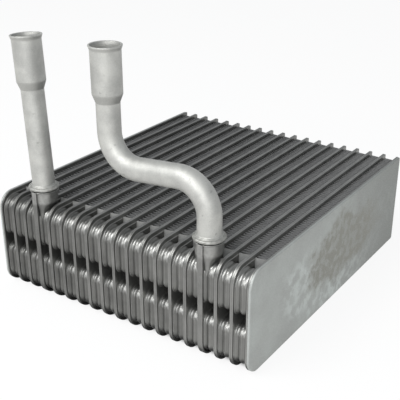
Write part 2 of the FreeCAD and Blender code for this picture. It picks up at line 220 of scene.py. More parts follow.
def makePressedSheet():
    made, tree, where = newMaterial("pressedSheet")
    finish = pressedFinish
    grain = useGroup(tree, sheetGrain, where, (-1000, 200), Fine_Scale=1100.0, Cloud_Scale=70.0, Relief=0.12)
    paintedCreviceShade = useGroup(tree, creviceShade, where, (-1000, -100), Reach=0.004, Amount=0.45)
    edge = useGroup(tree, rubbedEdge, where, (-1000, -350), Sharpness=0.53)
    at = split(tree, where, (-1100, 850))
    normal = surfaceNormal(tree)
    facing = split(tree, normal, (-1100, 700))
    colour = mixColour(tree, grain.outputs["Cloud"], finish["dark"], finish["metal"], (-600, 200))
    # painted shade darkens the hollows between the ridges, and a painted highlight in the neck's lighter colour
    # brightens the channel's shoulder
    shadeAndSheen = addNode(tree, "ShaderNodeAttribute", (-800, 500), attribute_name="shadeAndSheen")
    dimmed = calc(tree, "MULTIPLY", shadeAndSheen.outputs["Fac"], finish["valleyShadeShare"], clamp=True)
    colour = mixColour(tree, dimmed, colour, finish["shadeAndSheen"], (-500, 200))
    channelSheen = calc(tree, "MULTIPLY", shadeAndSheen.outputs["Fac"], -finish["channelSheenShare"], clamp=True)
    colour = mixColour(tree, channelSheen, colour, finish["neck"], (-450, 200))
    worn = calc(tree, "MULTIPLY", edge.outputs["Edge"], finish["edgeShare"])
    colour = mixColour(tree, worn, colour, finish["light"], (-400, 200))
    # painted shade in the creases
    colour = mixColour(tree, paintedCreviceShade.outputs["ShadeInCrevices"], colour, finish["grimeAndShade"], (-200, 200))
    # darker towards the left end of the stack, and painted light makes it lighter towards the right
    darkerLeft = remap(tree, at["X"], *finish["darkerLeftAcross"], finish["darkerLeftShare"], 0.0)
    colour = mixColour(tree, darkerLeft, colour, finish["grimeAndShade"], (-150, 200))
    litRight = remap(tree, at["X"], *finish["litRightAcross"], 0.0, finish["litRightShare"])
    colour = mixColour(tree, litRight, colour, finish["light"], (-100, 200))
    # painted light: faces that look up are made lighter
    litTops = remap(tree, facing["Z"], 0.85, 0.98, 0.0, finish["litTopShare"])
    colour = mixColour(tree, litTops, colour, finish["light"], (-50, 200))
    # painted highlight: the cups' shoulders that face up and forward are made bright
    match = addNode(tree, "ShaderNodeVectorMath", (-900, 650), {0: normal, 1: finish["shoulderFacing"]},
                    operation="DOT_PRODUCT")
    fromJoint = calc(tree, "PINGPONG", calc(tree, "DIVIDE", at["X"], finish["pitch"]), 0.5)
    shoulderHighlight = remap(tree, match.outputs["Value"], *finish["shoulderMatch"], 0.0, finish["shoulderHighlightShare"])
    shoulderHighlight = calc(tree, "MULTIPLY", shoulderHighlight, remap(tree, fromJoint, *finish["rimEnd"]))
    fade = remap(tree, at["X"], *finish["shoulderAcross"], finish["shoulderLeft"], 1.0)
    colour = mixColour(tree, calc(tree, "MULTIPLY", shoulderHighlight, fade), colour, finish["rubAndHighlight"], (-25, 200))
    # painted shade: the undersides and the low sideways faces are made nearly black
    low = remap(tree, at["Z"], *finish["underHeight"], 1.0, 0.25)
    under = calc(tree, "MULTIPLY", remap(tree, facing["Z"], -0.5, 0.0, 1.0, 0.0), low)
    sideways = remap(tree, calc(tree, "ABSOLUTE", facing["X"]), 0.3, 0.7)
    sides = calc(tree, "MULTIPLY", sideways, remap(tree, at["Z"], *finish["sideHeight"], 0.95, 0.0))
    under = calc(tree, "MAXIMUM", under, sides)
    # painted shade: so is the narrow pit between the upper cups and the fins
    pitStart, pitEnd = (frontY + depth for depth in finish["pitDepth"])
    pitShade = calc(tree, "MULTIPLY", remap(tree, at["Y"], pitStart, pitEnd),
               remap(tree, at["Z"], *finish["pitHeight"], 1.0, 0.0))
    colour = mixColour(tree, calc(tree, "MAXIMUM", under, pitShade), colour, finish["under"], (0, 200))
    # the necks are lighter, mottled by flux
    mottle = remap(tree, noise(tree, where, 420, 3.0, 0.6, (-800, 1000)), 0.35, 0.65, 0.55, 1.0)
    flux = calc(tree, "MULTIPLY", remap(tree, at["Z"], *finish["neckHeight"]), mottle)
    colour = mixColour(tree, flux, colour, finish["neck"], (150, 200))
    coatWith(tree, colour, grain, finish)
    return made


finFinish = {
    "metal": (0.245, 0.247, 0.247), "dark": (0.175, 0.177, 0.179), "depth": (0.055, 0.056, 0.056),
    "cut": (0.27, 0.27, 0.266), "free": (0.32, 0.32, 0.31), "litRight": (0.42, 0.42, 0.415),
    "roughness": (0.42, 0.6), "metallic": 0.5,
    "freeDepth": (0.0262, 0.0270), "litRightAcross": (-0.02, 0.108), "litRightShare": 0.24,
}


def makeFinFoil():
    made, tree, where = newMaterial("finFoil")
    finish = finFinish
    grain = useGroup(tree, sheetGrain, where, (-1000, 200), Fine_Scale=2500.0, Cloud_Scale=25.0)
    paintedCreviceShade = useGroup(tree, creviceShade, where, (-1000, -100), Reach=0.006, Amount=1.3)
    at = split(tree, where, (-1100, 500))
    facing = split(tree, surfaceNormal(tree), (-1100, 700))
    colour = mixColour(tree, grain.outputs["Cloud"], finish["dark"], finish["metal"], (-600, 200))
    # painted light: the first fold, standing free behind the cups, gets a lighter colour and none of the painted
    # crevice shade, and the cut edges on top are lighter too
    freeStart, freeEnd = (frontY + depth for depth in finish["freeDepth"])
    behind = remap(tree, at["Y"], freeStart, freeEnd)
    colour = mixColour(tree, remap(tree, facing["Z"], 0.8, 0.95), colour, finish["cut"], (-500, 200))
    # painted shade deep between the folds
    deepShade = calc(tree, "MULTIPLY", paintedCreviceShade.outputs["ShadeInCrevices"], behind)
    colour = mixColour(tree, deepShade, colour, finish["depth"], (-400, 200))
    colour = mixColour(tree, behind, finish["free"], colour, (-200, 200))
    # painted light: the fins get lighter towards the right end of the stack
    litRight = remap(tree, at["X"], *finish["litRightAcross"], 0.0, finish["litRightShare"])
    colour = mixColour(tree, litRight, colour, finish["litRight"], (0, 200))
    coatWith(tree, colour, grain, finish, bumped=False)
    return made


endFinish = {
    "metal": (0.345, 0.355, 0.34), "pale": (0.395, 0.415, 0.395), "streak": (0.47, 0.50, 0.48),
    "stain": (0.24, 0.24, 0.21), "rear": (0.24, 0.25, 0.235), "rubAndHighlight": (0.52, 0.54, 0.53),
    "grimeAndShade": (0.14, 0.14, 0.13), "roughness": (0.42, 0.6), "metallic": 0.5, "edgeShare": 0.4,
    "stainCentre": (0.108, 0.020, 0.038), "stainSpan": (0.02, 0.056, 0.026), "stainSpread": 0.35,
    "rearShadeAlong": (-0.05, 0.125), "paleAlong": (0.0, 0.07), "paleHeight": (0.048, 0.062),
}


def makeEndSheet():
    made, tree, where = newMaterial("endSheetMetal")
    finish = endFinish
    grain = useGroup(tree, sheetGrain, where, (-1000, 200), Fine_Scale=1100.0, Cloud_Scale=38.0, Relief=0.12)
    paintedCreviceShade = useGroup(tree, creviceShade, where, (-1000, -100), Reach=0.004, Amount=0.5)
    edge = useGroup(tree, rubbedEdge, where, (-1000, -350), Sharpness=0.52)
    at = split(tree, where, (-1100, 1100))
    # a dull film, thickest in a wide patch low on the sheet, with ragged borders
    scale = [1 / span for span in finish["stainSpan"]]
    shift = [-centre * share for centre, share in zip(finish["stainCentre"], scale)]
    centred = addNode(tree, "ShaderNodeMapping", (-1000, 600), {"Vector": where, "Scale": scale, "Location": shift})
    flat = addNode(tree, "ShaderNodeVectorMath", (-850, 600), {0: centred.outputs["Vector"], 1: (0, 1, 1)},
                   operation="MULTIPLY")
    length = addNode(tree, "ShaderNodeVectorMath", (-700, 600), {0: flat.outputs["Vector"]}, operation="LENGTH")
    ragged = calc(tree, "MULTIPLY", noise(tree, where, 42, 5.0, 0.62, (-850, 800)), 1.5)
    near = calc(tree, "SUBTRACT", calc(tree, "ADD", ragged, finish["stainSpread"]), length.outputs["Value"])
    patch = remap(tree, near, -0.1, 0.35)
    border = calc(tree, "MULTIPLY", remap(tree, near, -0.75, -0.3), calc(tree, "SUBTRACT", 1.0, patch))
    streak = remap(tree, noise(tree, where, 150, 3.0, 0.6, (-850, 950)), 0.38, 0.62)
    patch = calc(tree, "MULTIPLY", patch, calc(tree, "ADD", calc(tree, "MULTIPLY", streak, 0.7), 0.4), clamp=True)
    # and a paler rim of rubbed streaks before it
    pale = calc(tree, "MULTIPLY", border, remap(tree, noise(tree, where, 110, 4.0, 0.65, (-850, 1250)), 0.42, 0.6))
    pale = calc(tree, "MULTIPLY", pale, remap(tree, at["Y"], *finish["paleAlong"], 1.0, 0.1))
    pale = calc(tree, "MULTIPLY", pale, remap(tree, at["Z"], *finish["paleHeight"], 1.0, 0.15))
    colour = mixColour(tree, grain.outputs["Cloud"], finish["metal"], finish["pale"], (-700, 200))
    # painted shade: the sheet darkens towards the rear, where less light falls
    colour = mixColour(tree, remap(tree, at["Y"], *finish["rearShadeAlong"]), colour, finish["rear"], (-600, 300))
    colour = mixColour(tree, pale, colour, finish["streak"], (-550, 300))
    colour = mixColour(tree, patch, colour, finish["stain"], (-500, 300))
    worn = calc(tree, "MULTIPLY", edge.outputs["Edge"], finish["edgeShare"])
    colour = mixColour(tree, worn, colour, finish["rubAndHighlight"], (-300, 300))
    # painted shade in the creases
    colour = mixColour(tree, paintedCreviceShade.outputs["ShadeInCrevices"], colour, finish["grimeAndShade"], (-100, 300))
    coatWith(tree, colour, grain, finish)
    return made


pipeFinish = {
    "metal": (0.60, 0.60, 0.57), "dimmed": (0.46, 0.46, 0.44), "grimeAndShade": (0.20, 0.20, 0.19),
    "band": (0.42, 0.42, 0.40), "foot": (0.33, 0.33, 0.31), "roughness": (0.54, 0.66), "metallic": 0.9,
    "spotShare": 0.35, "footHeight": (0.0872, 0.0885),
}


def makePipeMetal():
    made, tree, where = newMaterial("drawnTube")
    finish = pipeFinish
    grain = useGroup(tree, sheetGrain, where, (-1000, 200), Fine_Scale=1300.0, Cloud_Scale=60.0, Relief=0.12)
    paintedCreviceShade = useGroup(tree, creviceShade, where, (-1000, -100), Reach=0.003, Amount=0.8)
    at = split(tree, where, (-1100, 850))
    colour = mixColour(tree, grain.outputs["Cloud"], finish["dimmed"], finish["metal"], (-600, 200))
    spots = remap(tree, noise(tree, where, 260, 2.0, 0.5, (-800, 500)), 0.68, 0.76, 0.0, finish["spotShare"])
    colour = mixColour(tree, spots, colour, finish["grimeAndShade"], (-400, 200))
    # the drawn taper is duller, the lines just under the flared lip and inside the mouth are painted shade, and the
    # soldered bead is duller too
    band = addNode(tree, "ShaderNodeAttribute", (-800, 700), attribute_name="band")
    colour = mixColour(tree, band.outputs["Fac"], colour, finish["band"], (-300, 200))
    mottle = remap(tree, noise(tree, where, 380, 3.0, 0.6, (-800, 1000)), 0.35, 0.65, 0.3, 1.0)
    foot = calc(tree, "MULTIPLY", remap(tree, at["Z"], *finish["footHeight"], 1.0, 0.0), mottle)
    colour = mixColour(tree, foot, colour, finish["foot"], (-250, 200))
    # painted shade in the creases, over the real dirt spots above
    colour = mixColour(tree, paintedCreviceShade.outputs["ShadeInCrevices"], colour, finish["grimeAndShade"], (-200, 200))
    coatWith(tree, colour, grain, finish)
    return made


pressedSheet = makePressedSheet()
finFoil = makeFinFoil()
endSheetMetal = makeEndSheet()
drawnTube = makePipeMetal()
print("four finishes made")


def outline(corners, inset=0.0):
    # corners are (along, up, radius, segments), anticlockwise; the whole outline shrinks by inset
    points = []
    count = len(corners)
    for i, (along, up, radius, segments) in enumerate(corners):
        here = Vector((along, up))
        before = (here - Vector(corners[i - 1][:2])).normalized()
        after = (Vector(corners[(i + 1) % count][:2]) - here).normalized()
        inBefore = Vector((-before.y, before.x))
        inAfter = Vector((-after.y, after.x))
        here = here + (inBefore + inAfter) * inset / (1 + inBefore.dot(inAfter))
        turn = math.atan2(before.x * after.y - before.y * after.x, before.dot(after))
        side = 1 if turn > 0 else -1
        bend = max(radius - side * inset, 0.02)
        start = here - before * bend * math.tan(abs(turn) / 2)
        centre = start + inBefore * bend * side
        for step in range(segments + 1):
            arm = start - centre
            arm.rotate(Matrix.Rotation(turn * step / segments, 2))
            points.append(centre + arm)
    return points


def ring(bm, points, height, shadeAndSheen=0.0):
    made = [bm.verts.new((height * mm, p.x * mm, p.y * mm)) for p in points]
    # the mark paints shade in hollows when above 0 and a highlight when below 0
    mark = bm.verts.layers.float.get("shadeAndSheen")
    if mark:
        for vert in made:
            vert[mark] = shadeAndSheen
    return made


def bridge(bm, first, second):
    count = len(first)
    for i in range(count):
        j = (i + 1) % count
        bm.faces.new((first[i], first[j], second[j], second[i]))


def bridgeAll(bm, rings):
    for first, second in zip(rings, rings[1:]):
        bridge(bm, first, second)


def fillFlat(bm, rings):
    # flat face between an outer ring and the holes in it
    edges = []
    for loop in rings:
        for a, b in zip(loop, loop[1:] + loop[:1]):
            edges.append(bm.edges.get((a, b)) or bm.edges.new((a, b)))
    bmesh.ops.triangle_fill(bm, use_beauty=True, use_dissolve=False, edges=edges, normal=(1, 0, 0))


def finishMesh(bm, name):
    bmesh.ops.remove_doubles(bm, verts=bm.verts, dist=1e-6)
    bmesh.ops.recalc_face_normals(bm, faces=bm.faces)
    for face in bm.faces:
        face.smooth = True
    mesh = bpy.data.meshes.new(name)
    bm.to_mesh(mesh)
    bm.free()
    return mesh


plate = {
    "length": 236.8, "height": 74.0, "rimThickness": 1.2, "rimCorner": 12.0, "rearCorner": 1.0,
    "edgeRound": 0.22, "jointRound": 0.12,
    "channelInset": 1.5, "channelDrop": 1.3, "channelHalf": 1.6,
    "webBack": 20.4, "webGap": 0.9, "webCorner": 8.1,
    "cupFront": 2.0, "cupBack": 19.0, "cupEdge": 3.7, "cupHeight": 29.3,
    "cupOuterCorner": 8.5, "cupInnerCorner": 6.5, "cupRearCorner": 5.2,
    # inset, height above the joint plane and how much painted shade, from a cup's foot to the face that meets the
    # next
    "cupSteps": [(-0.1, 1.6, 0.6), (-0.25, 1.68, 0.5), (-0.3, 1.85, 0.3), (-0.22, 2.1, 0.3), (0.02, 2.4, 0.6),
                 (0.34, 2.7, 0.9), (0.6, 3.1, 1), (0.66, 3.6, 1), (0.56, 4.15, 1), (0.36, 4.65, 1),
                 (0.12, 5.1, 0.6), (-0.06, 5.5, 0), (-0.1, 5.9, 0)],
    "tabDepth": 22.0, "neckTop": 84.0, "bandThickness": 1.9, "bandWidth": 2.3,
}


def rimCorners(withTab):
    p = plate
    corners = [(0, 0, p["rimCorner"], 9), (p["length"], 0, p["rearCorner"], 3)]
    corners.append((p["length"], p["height"], p["rearCorner"], 3))
    if withTab:
        corners.append((p["tabDepth"], p["height"], 1.5, 3))
        corners.append((p["tabDepth"], p["neckTop"], 0.6, 2))
        corners.append((0, p["neckTop"], 0.6, 2))
    else:
        corners.append((0, p["height"], p["rimCorner"], 9))
    return corners


def boxCorners(front, bottom, back, top, lowerRadius, upperRadius, backRadius, segments):
    return [(front, bottom, lowerRadius, segments), (back, bottom, backRadius, segments),
            (back, top, backRadius, segments), (front, top, upperRadius, segments)]


def addCup(bm, bottom, upper):
    p = plate
    radii = (p["cupInnerCorner"], p["cupOuterCorner"]) if upper else (p["cupOuterCorner"], p["cupInnerCorner"])
    corners = boxCorners(p["cupFront"], bottom, p["cupBack"], bottom + p["cupHeight"], *radii, p["cupRearCorner"], 8)
    rings = [ring(bm, outline(corners, inset), height, shadeAndSheen) for inset, height, shadeAndSheen in p["cupSteps"]]
    bridgeAll(bm, rings)
    fillFlat(bm, [rings[-1]])
    return rings[0]


def channelCorners():
    # the raised face, divided between the two cups by a web that stays at the rim's level
    p = plate
    low = p["cupEdge"] + p["cupHeight"] + p["webGap"]
    high = p["height"] - low
    front, cup, drop = 0.0, p["webCorner"], p["channelDrop"]
    return [(front, drop, p["rimCorner"], 9), (p["length"], drop, p["rearCorner"], 3),
            (p["length"], p["height"] - drop, p["rearCorner"], 3), (front, p["height"] - drop, p["rimCorner"], 9),
            (front, high - p["channelInset"], cup, 6), (p["webBack"], high - p["channelInset"], 0.6, 2),
            (p["webBack"], low + p["channelInset"], 0.6, 2), (front, low + p["channelInset"], cup, 6)]


neck = {
    "fromFront": 11.0, "radius": 9.3, "lip": 10.2, "foot": 64.0, "round": 76.0, "seat": 8.05, "seatFloor": 78.0,
    "cupAcross": 5.75, "cupAlong": 8.3, "cupPower": 5, "straight": 3.0, "steps": 28,
}


def addNeckHalf(bm):
    # half of the round neck: the cup's own section opens out into a round, with a seat bored in it
    n = neck
    start = n["foot"] + n["straight"]
    levels = [(n["foot"], 0.0), (start, 0.0)]
    rise = n["round"] - start
    levels += [(start + rise * t, t * t * (3 - 2 * t)) for t in (0.2, 0.4, 0.6, 0.8, 1.0)]
    top = plate["neckTop"]
    rounds = [(n["radius"], top - 1.5), (n["radius"] + 0.3, top - 1.0), (n["lip"], top - 0.7), (n["lip"], top - 0.3),
              (n["lip"] - 0.2, top), (n["seat"], top), (n["seat"], n["seatFloor"]), (0.0, n["seatFloor"])]
    power = n["cupPower"]
    columns = []
    for step in range(n["steps"] + 1):
        angle = math.pi * step / n["steps"] - math.pi / 2
        across, along = math.cos(angle), math.sin(angle)
        boxed = ((abs(across) / n["cupAcross"]) ** power + (abs(along) / n["cupAlong"]) ** power) ** (-1 / power)
        column = [(boxed + (n["radius"] - boxed) * blend, z) for z, blend in levels] + rounds
        columns.append([bm.verts.new((r * across * mm, (n["fromFront"] + r * along) * mm, z * mm))
                        for r, z in column])
    for a, b in zip(columns, columns[1:]):
        for i in range(len(a) - 1):
            bm.faces.new((a[i], b[i], b[i + 1], a[i + 1]))


def halfPlateMesh(withNeck):
    p = plate
    bm = bmesh.new()
    bm.verts.layers.float.new("shadeAndSheen")
    t = p["rimThickness"]
    rimSteps = [(p["jointRound"], 0.0), (0.0, p["jointRound"]), (0.0, t - p["edgeRound"]),
                (0.07, t - 0.07), (p["edgeRound"], t)]
    corners = rimCorners(withNeck)
    rim = [ring(bm, outline(corners, inset), height) for inset, height in rimSteps]
    bridgeAll(bm, rim)
    fillFlat(bm, [rim[0]])
    # a mark below 0 paints a highlight on the channel's shoulder
    edge, half = p["channelInset"], p["channelHalf"]
    channelSteps = [(edge - 0.15, t, 0), (edge - 0.05, t + 0.1, -0.5), (edge + 0.1, half - 0.1, -1),
                    (edge + 0.33, half, -1)]
    channel = [ring(bm, outline(channelCorners(), inset), height, mark) for inset, height, mark in channelSteps]
    bridgeAll(bm, channel)
    fillFlat(bm, [rim[-1], channel[0]])
    feet = [addCup(bm, p["cupEdge"], False), addCup(bm, p["height"] - p["cupEdge"] - p["cupHeight"], True)]
    fillFlat(bm, [channel[-1], *feet])
    if withNeck:
        addNeckHalf(bm)
        addBand(bm)
    return finishMesh(bm, "pressedHalfWithNeck" if withNeck else "pressedHalf")


def addBand(bm):
    # thickened front edge that runs up beside the neck
    p = plate
    corner, width, thick = p["rimCorner"], p["bandWidth"], p["bandThickness"]
    centre = Vector((corner, corner))
    outer, inner = [], []
    steps = 9
    for step in range(steps + 1):
        angle = math.radians(270 - 90 * step / steps)
        turn = Vector((math.cos(angle), math.sin(angle)))
        outer.append(centre + turn * corner)
        inner.append(centre + turn * (corner - width))
    outer.append(Vector((0, p["neckTop"])))
    inner.append(Vector((width, p["neckTop"])))
    low, shoulder = thick - 1.0, thick - 0.25
    across = [(0.0, low), (0.0, shoulder), (0.3, thick), (0.7, thick), (1.0, shoulder), (1.0, low)]
    rows = []
    for a, b in zip(outer, inner):
        places = [(height, a + (b - a) * share) for share, height in across]
        rows.append([bm.verts.new((height * mm, spot.x * mm, spot.y * mm)) for height, spot in places])
    for first, second in zip(rows, rows[1:]):
        bridge(bm, first, second)
    bm.faces.new(rows[0])
    bm.faces.new(rows[-1])


def newTree(name, inputs):
    tree = bpy.data.node_groups.new(name, "GeometryNodeTree")
    addInputs(tree, [("Geometry", "NodeSocketGeometry", None), *inputs])
    tree.interface.new_socket("Geometry", in_out="OUTPUT", socket_type="NodeSocketGeometry")
    return tree, addNode(tree, "NodeGroupInput", (-1600, 0)), addNode(tree, "NodeGroupOutput", (1400, 0))


def placeAndCoat(tree, geometry, material, out, **places):
    # moves the shape to its place, makes every repeat real and gives it its material
    spot = addNode(tree, "ShaderNodeCombineXYZ", (500, -300), places).outputs["Vector"]
    placed = addNode(tree, "GeometryNodeTransform", (700, 0), {"Geometry": geometry, "Translation": spot})
    real = addNode(tree, "GeometryNodeRealizeInstances", (900, 0), {"Geometry": placed.outputs["Geometry"]})
    dressed = {"Geometry": real.outputs["Geometry"], "Material": material}
    coat = addNode(tree, "GeometryNodeSetMaterial", (1100, 0), dressed)
    tree.links.new(coat.outputs["Geometry"], out.inputs["Geometry"])


def join(tree, first, second, place):
    both = addNode(tree, "GeometryNodeJoinGeometry", place, {"Geometry": first})
    tree.links.new(second, both.inputs["Geometry"])
    return both.outputs["Geometry"]


def makePlatePair():
    # a half plate and its mirror image, back to back at a place across the stack
    tree, inside, out = newTree("platePair", [
        ("Across", "NodeSocketFloat", 0.0),
        ("Front", "NodeSocketFloat", 0.0),
        ("Left Half", "NodeSocketBool", True),
        ("Right Half", "NodeSocketBool", True),
        ("Material", "NodeSocketMaterial", None),
    ])
    given = inside.outputs
    mirrored = addNode(tree, "GeometryNodeTransform", (-1200, -200),
                       {"Geometry": given["Geometry"], "Scale": (-1, 1, 1)})
    turned = addNode(tree, "GeometryNodeFlipFaces", (-1000, -200), {"Mesh": mirrored.outputs["Geometry"]})
    left, right = (
        addNode(tree, "GeometryNodeSwitch", (-800, height), {"Switch": wanted, "True": half}, input_type="GEOMETRY")
        for wanted, half, height in ((given["Left Half"], turned.outputs["Mesh"], -200),
                                     (given["Right Half"], given["Geometry"], 200)))
    both = join(tree, left.outputs["Output"], right.outputs["Output"], (-500, 0))
    placeAndCoat(tree, both, given["Material"], out, X=given["Across"], Y=given["Front"])
    return tree


def makeFoldedFin():
    # a foil strip folded to and fro between two tubes, each leg slit into tilted louvres
    tree, inside, out = newTree("foldedFin", [
        ("Across", "NodeSocketFloat", 0.0),
        ("Front", "NodeSocketFloat", 0.0),
        ("Bottom", "NodeSocketFloat", 0.0),
        ("Folds", "NodeSocketInt", 70),
        ("Fold Length", "NodeSocketFloat", 0.003),
        ("Tip", "NodeSocketFloat", 0.0043),
        ("Crest", "NodeSocketFloat", 0.0005),
        ("Height", "NodeSocketFloat", 0.07),
        ("Foil", "NodeSocketFloat", 0.0002),
        ("Louvres", "NodeSocketInt", 7),
        ("Louvre Width", "NodeSocketFloat", 0.0012),
        ("Louvre Tilt", "NodeSocketFloat", 0.5),
        ("Material", "NodeSocketMaterial", None),
    ])
    given = inside.outputs

    def math2(operation, first, second=0.0):
        return calc(tree, operation, first, second)

    def combine(**parts):
        return addNode(tree, "ShaderNodeCombineXYZ", (0, 0), parts).outputs["Vector"]

    index = addNode(tree, "GeometryNodeInputIndex", (-1300, 0)).outputs[0]
    fold = math2("FLOOR", math2("DIVIDE", index, 4.0))
    corner = math2("MODULO", index, 4.0)
    far = math2("GREATER_THAN", corner, 1.5)
    odd = math2("MODULO", corner, 2.0)
    x = math2("MULTIPLY", given["Tip"], math2("SUBTRACT", math2("MULTIPLY", far, 2.0), 1.0))
    y = math2("MULTIPLY", given["Fold Length"], math2("ADD", fold, math2("MULTIPLY", far, 0.5)))
    y = math2("ADD", y, math2("MULTIPLY", odd, given["Crest"]))
    lineCount = math2("ADD", math2("MULTIPLY", given["Folds"], 4.0), 1.0)
    line = addNode(tree, "GeometryNodeMeshLine", (-1000, 300), {"Count": lineCount})
    zigzag = addNode(tree, "GeometryNodeSetPosition", (-400, 300),
                     {"Geometry": line.outputs["Mesh"], "Position": combine(X=x, Y=y)})
    curve = addNode(tree, "GeometryNodeMeshToCurve", (-200, 300), {"Mesh": zigzag.outputs["Geometry"]})
    upright = addNode(tree, "GeometryNodeSetCurveNormal", (0, 300), {"Curve": curve.outputs["Curve"]}, mode="Z_UP")
    section = addNode(tree, "GeometryNodeCurvePrimitiveQuadrilateral", (0, 0),
                      {"Width": given["Foil"], "Height": given["Height"]}, mode="RECTANGLE")
    strip = addNode(tree, "GeometryNodeCurveToMesh", (200, 300), {
        "Curve": upright.outputs["Curve"], "Profile Curve": section.outputs["Curve"], "Fill Caps": True})

    # louvres: a column of tilted slats, one column on each leg
    slatSize = combine(X=math2("MULTIPLY", given["Tip"], 1.45), Y=math2("MULTIPLY", given["Foil"], 0.6),
                       Z=given["Louvre Width"])
    slat = addNode(tree, "GeometryNodeMeshCube", (-900, -600), {"Size": slatSize})
    spacing = math2("DIVIDE", given["Height"], math2("ADD", given["Louvres"], 1.0))
    lowest = math2("MULTIPLY", spacing, math2("MULTIPLY", math2("SUBTRACT", given["Louvres"], 1.0), -0.5))
    column = addNode(tree, "GeometryNodeMeshLine", (-700, -800), {
        "Count": given["Louvres"], "Start Location": combine(Z=lowest), "Offset": combine(Z=spacing)})
    slats = addNode(tree, "GeometryNodeInstanceOnPoints", (-500, -700), {
        "Points": column.outputs["Mesh"], "Instance": slat.outputs["Mesh"],
        "Rotation": combine(X=given["Louvre Tilt"])})
    halfFold = math2("MULTIPLY", given["Fold Length"], 0.5)
    firstLeg = math2("MULTIPLY", math2("ADD", halfFold, given["Crest"]), 0.5)
    legs = addNode(tree, "GeometryNodeMeshLine", (-300, -500), {
        "Count": math2("MULTIPLY", given["Folds"], 2.0), "Start Location": combine(Y=firstLeg),
        "Offset": combine(Y=halfFold)})
    legRun = math2("SUBTRACT", halfFold, given["Crest"])
    slope = math2("ARCTAN2", legRun, math2("MULTIPLY", given["Tip"], 2.0))
    leansBack = math2("SUBTRACT", 1.0, math2("MULTIPLY", math2("MODULO", index, 2.0), 2.0))
    columns = addNode(tree, "GeometryNodeInstanceOnPoints", (0, -500), {
        "Points": legs.outputs["Mesh"], "Instance": slats.outputs["Instances"],
        "Rotation": combine(Z=math2("MULTIPLY", slope, leansBack))})

    both = join(tree, strip.outputs["Mesh"], columns.outputs["Instances"], (500, 0))
    centre = math2("ADD", given["Bottom"], math2("MULTIPLY", given["Height"], 0.5))
    placeAndCoat(tree, both, given["Material"], out, X=given["Across"], Y=given["Front"], Z=centre)
    return tree


def grow(name, seedMesh, tree, values):
    # runs a geometry tree on a mesh and returns the result as a plain object
    helper = bpy.data.objects.new("helper", seedMesh)
    scene.collection.objects.link(helper)
    modifier = helper.modifiers.new("tree", "NODES")
    modifier.node_group = tree
    for item in tree.interface.items_tree:
        if item.item_type == "SOCKET" and item.in_out == "INPUT" and item.name in values:
            modifier[item.identifier] = values[item.name]
    graph = bpy.context.evaluated_depsgraph_get()
    mesh = bpy.data.meshes.new_from_object(helper.evaluated_get(graph))
    mesh.name = name
    helper.modifiers.remove(modifier)
    bpy.data.objects.remove(helper)
    made = bpy.data.objects.new(name, mesh)
    scene.collection.objects.link(made)
    return made


def weighNormals(piece):
    modifier = piece.modifiers.new("weighted normals", "WEIGHTED_NORMAL")
    modifier.mode = "FACE_AREA"
    modifier.weight = 50
    modifier.keep_sharp = True


def settle(piece, slot, *nodes):
    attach(piece, "root")
    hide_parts(*nodes)


platePair = makePlatePair()
plainHalf = halfPlateMesh(False)
neckHalf = halfPlateMesh(True)
stationCount = 19
neckStations = (3, 15)
stationX = []
for station in range(stationCount):
    side = "left" if station == stationCount - 1 else "right"
    low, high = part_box(f"plate_{station:02d}_{side}")
    stationX.append(high.x if side == "left" else low.x)

for station in range(stationCount):
    hasLeft = station > 0
    hasRight = station < stationCount - 1
    seed = neckHalf if station in neckStations else plainHalf
    tube = grow(f"tube_{station:02d}", seed, platePair, {
        "Across": stationX[station], "Front": frontY,
        "Left Half": hasLeft, "Right Half": hasRight, "Material": pressedSheet,
    })
    weighNormals(tube)
    stoodFor = [name for name in nodeNames if name.startswith(f"plate_{station:02d}_")]
    settle(tube, "plates", *stoodFor)
print("tubes made:", stationCount, "of", len(plainHalf.polygons), "faces a half")


fin = {
    "folds": 70, "fromFront": 24.5, "fromRear": 3.8, "bottom": 2.0, "height": 70.0,
    "crest": 0.4, "foil": 0.14, "louvres": 7, "louvreWidth": 1.3, "louvreTilt": 0.45,
    # the last fold is only a crest, a tenth of a fold long
    "lastFold": 0.1,
}
foldedFin = makeFoldedFin()
seedMesh = bpy.data.meshes.new("finSeed")
finLength = plate["length"] - fin["fromFront"] - fin["fromRear"]
for bay in range(1, stationCount):
    node = f"fin_{bay:02d}"
    low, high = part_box(node)
    foil = fin["foil"] * mm
    strip = grow(f"finStrip_{bay:02d}", seedMesh, foldedFin, {
        "Across": (low.x + high.x) / 2,
        "Front": frontY + fin["fromFront"] * mm + foil / 2,
        "Bottom": fin["bottom"] * mm,
        "Folds": fin["folds"],
        "Fold Length": finLength * mm / (fin["folds"] + fin["lastFold"]),
        "Tip": (high.x - low.x) / 2 - foil / 2,
        "Crest": fin["crest"] * mm,
        "Height": fin["height"] * mm,
        "Foil": foil,
        "Louvres": fin["louvres"],
        "Louvre Width": fin["louvreWidth"] * mm,
        "Louvre Tilt": fin["louvreTilt"],
        "Material": finFoil,
    })
    settle(strip, "fins", node)
print("fins made, each of", len(strip.data.polygons), "faces")


endPlate = {"thickness": 1.8, "frontCorner": 12.0, "rearCorner": 2.0, "edgeRound": 0.7}


